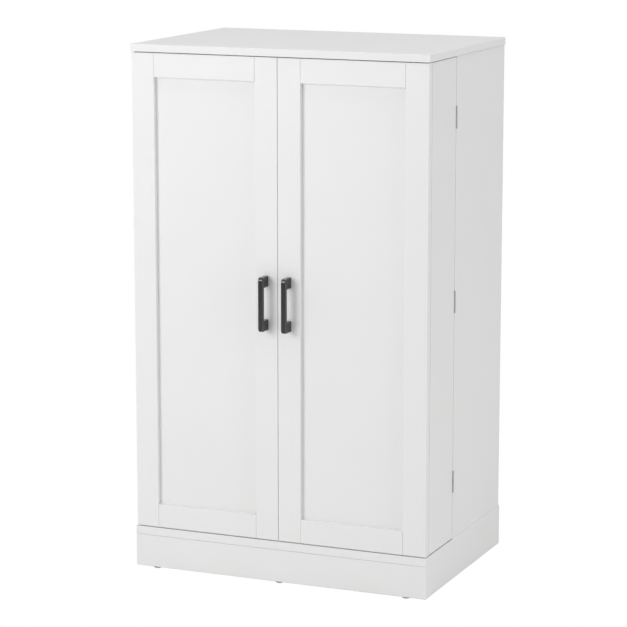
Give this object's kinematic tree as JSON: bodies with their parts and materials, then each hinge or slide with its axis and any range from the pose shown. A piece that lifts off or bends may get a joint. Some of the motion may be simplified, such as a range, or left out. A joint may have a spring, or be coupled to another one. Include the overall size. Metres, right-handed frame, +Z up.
{
  "type": "pantry cabinet",
  "caption": "Tall white freestanding pantry cabinet: deep shelved box doors in shaker frames, black bar handles, shelves behind, boxed plinth base.",
  "frame": {"origin": "on the floor, under the middle of the whole cabinet with its handles", "axes": "+Z up, the doors face -Y, +X is to the right of someone facing the doors"},
  "size_m": [0.6328, 0.468, 1.0698],
  "materials": {
    "white_board": "white melamine faced particle board, satin",
    "hardboard": "thin hardboard with a white face",
    "bare_wood": "bare pine and beech",
    "black_metal": "black powder coat, semi-gloss",
    "hinge_metal": "satin nickel plate",
    "zinc_plate": "bright zinc plate",
    "cast_zinc": "die-cast zinc",
    "magnet": "ground ferrite and steel",
    "grey_plastic": "grey moulded plastic",
    "white_plastic": "white moulded plastic"
  },
  "bodies": {
    "cabinet": {"back_panel": "hardboard", "back_plinth": "white_board", "base_brace": "white_board", "bottom_panel": "white_board", "cam_bolts": "zinc_plate", "cam_locks": "cast_zinc", "carcass_screws": "zinc_plate", "catch_housings": "white_plastic", "catch_magnets": "magnet", "corner_blocks": "bare_wood", "dowels": "bare_wood", "fixed_shelf": "white_board", "front_plinth": "white_board", "glides": "grey_plastic", "hinge_frame_leaves": "hinge_metal", "hinge_pins": "hinge_metal", "left_base_board": "white_board", "left_side_panel": "white_board", "lower_shelf": "white_board", "right_base_board": "white_board", "right_side_panel": "white_board", "shelf_pins": "zinc_plate", "top_back_rail": "white_board", "top_slab": "white_board", "upper_shelf": "white_board"},
    "left_door": {"left_door_bottom_rail": "white_board", "left_door_box_bottom": "white_board", "left_door_box_top": "white_board", "left_door_centre_panel": "white_board", "left_door_handle": "black_metal", "left_door_hinge_leaves": "hinge_metal", "left_door_inner_stile": "white_board", "left_door_inner_wall": "white_board", "left_door_lower_shelf": "white_board", "left_door_middle_shelf": "white_board", "left_door_outer_stile": "white_board", "left_door_outer_wall": "white_board", "left_door_screws": "zinc_plate", "left_door_shelf_lips": "white_board", "left_door_strike_plate": "zinc_plate", "left_door_top_rail": "white_board", "left_door_upper_shelf": "white_board"},
    "right_door": {"right_door_bottom_rail": "white_board", "right_door_box_bottom": "white_board", "right_door_box_top": "white_board", "right_door_centre_panel": "white_board", "right_door_handle": "black_metal", "right_door_hinge_leaves": "hinge_metal", "right_door_inner_stile": "white_board", "right_door_inner_wall": "white_board", "right_door_lower_shelf": "white_board", "right_door_middle_shelf": "white_board", "right_door_outer_stile": "white_board", "right_door_outer_wall": "white_board", "right_door_screws": "zinc_plate", "right_door_shelf_lips": "white_board", "right_door_strike_plate": "zinc_plate", "right_door_top_rail": "white_board", "right_door_upper_shelf": "white_board"}
  },
  "joints": [
    {"name": "left_door_hinge", "type": "hinge", "parent": "cabinet", "child": "left_door", "pos_m": [-0.3145, -0.052, 0.5702], "axis": [0, 0, -1], "range_deg": [0, 180]},
    {"name": "right_door_hinge", "type": "hinge", "parent": "cabinet", "child": "right_door", "pos_m": [0.3145, -0.052, 0.5702], "axis": [0, 0, 1], "range_deg": [0, 180]}
  ]
}
